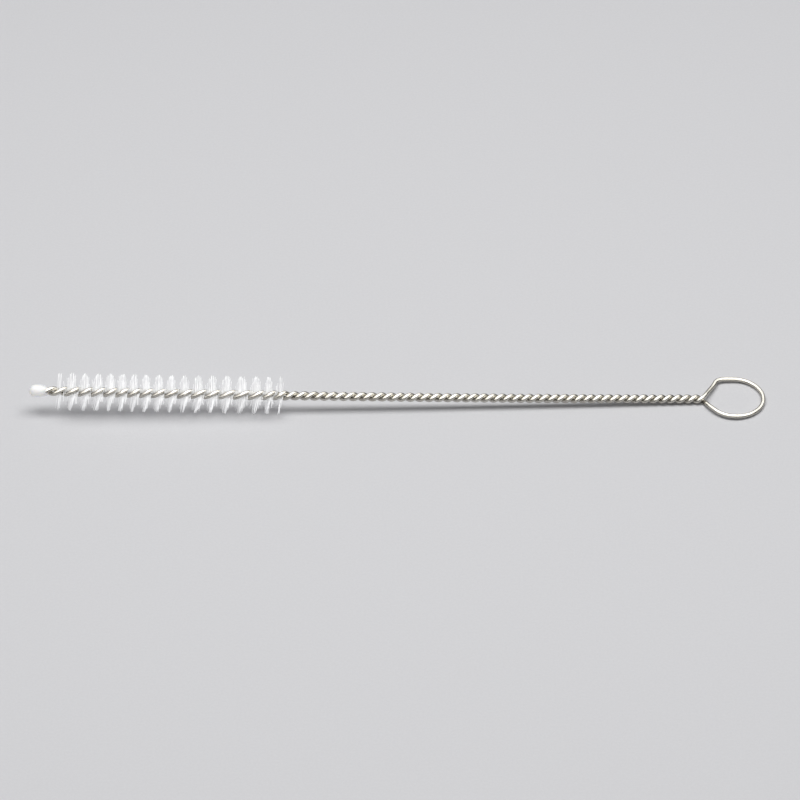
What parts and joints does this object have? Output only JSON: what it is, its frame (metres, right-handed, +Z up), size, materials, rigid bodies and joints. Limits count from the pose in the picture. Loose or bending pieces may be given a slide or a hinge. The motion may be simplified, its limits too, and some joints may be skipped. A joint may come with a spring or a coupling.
{
  "type": "bottle brush",
  "caption": "Small tube and bottle brush: nylon bristles pinched in a twisted steel wire, with a hanging ring at one end and a plastic bead over the tip.",
  "frame": {"origin": "centre of the bounding box, on the surface that the brush rests on", "axes": "+X along the brush from the bead to the hanging ring, +Z up from the surface"},
  "size_m": [0.1996, 0.0168, 0.0125],
  "materials": {
    "steel_wire": "bright drawn wire",
    "nylon": "fine translucent filament",
    "bead_plastic": "smooth moulded"
  },
  "bodies": {
    "root": {"wire": "steel_wire", "bristles": "nylon", "tip_bead": "bead_plastic"}
  },
  "joints": []
}
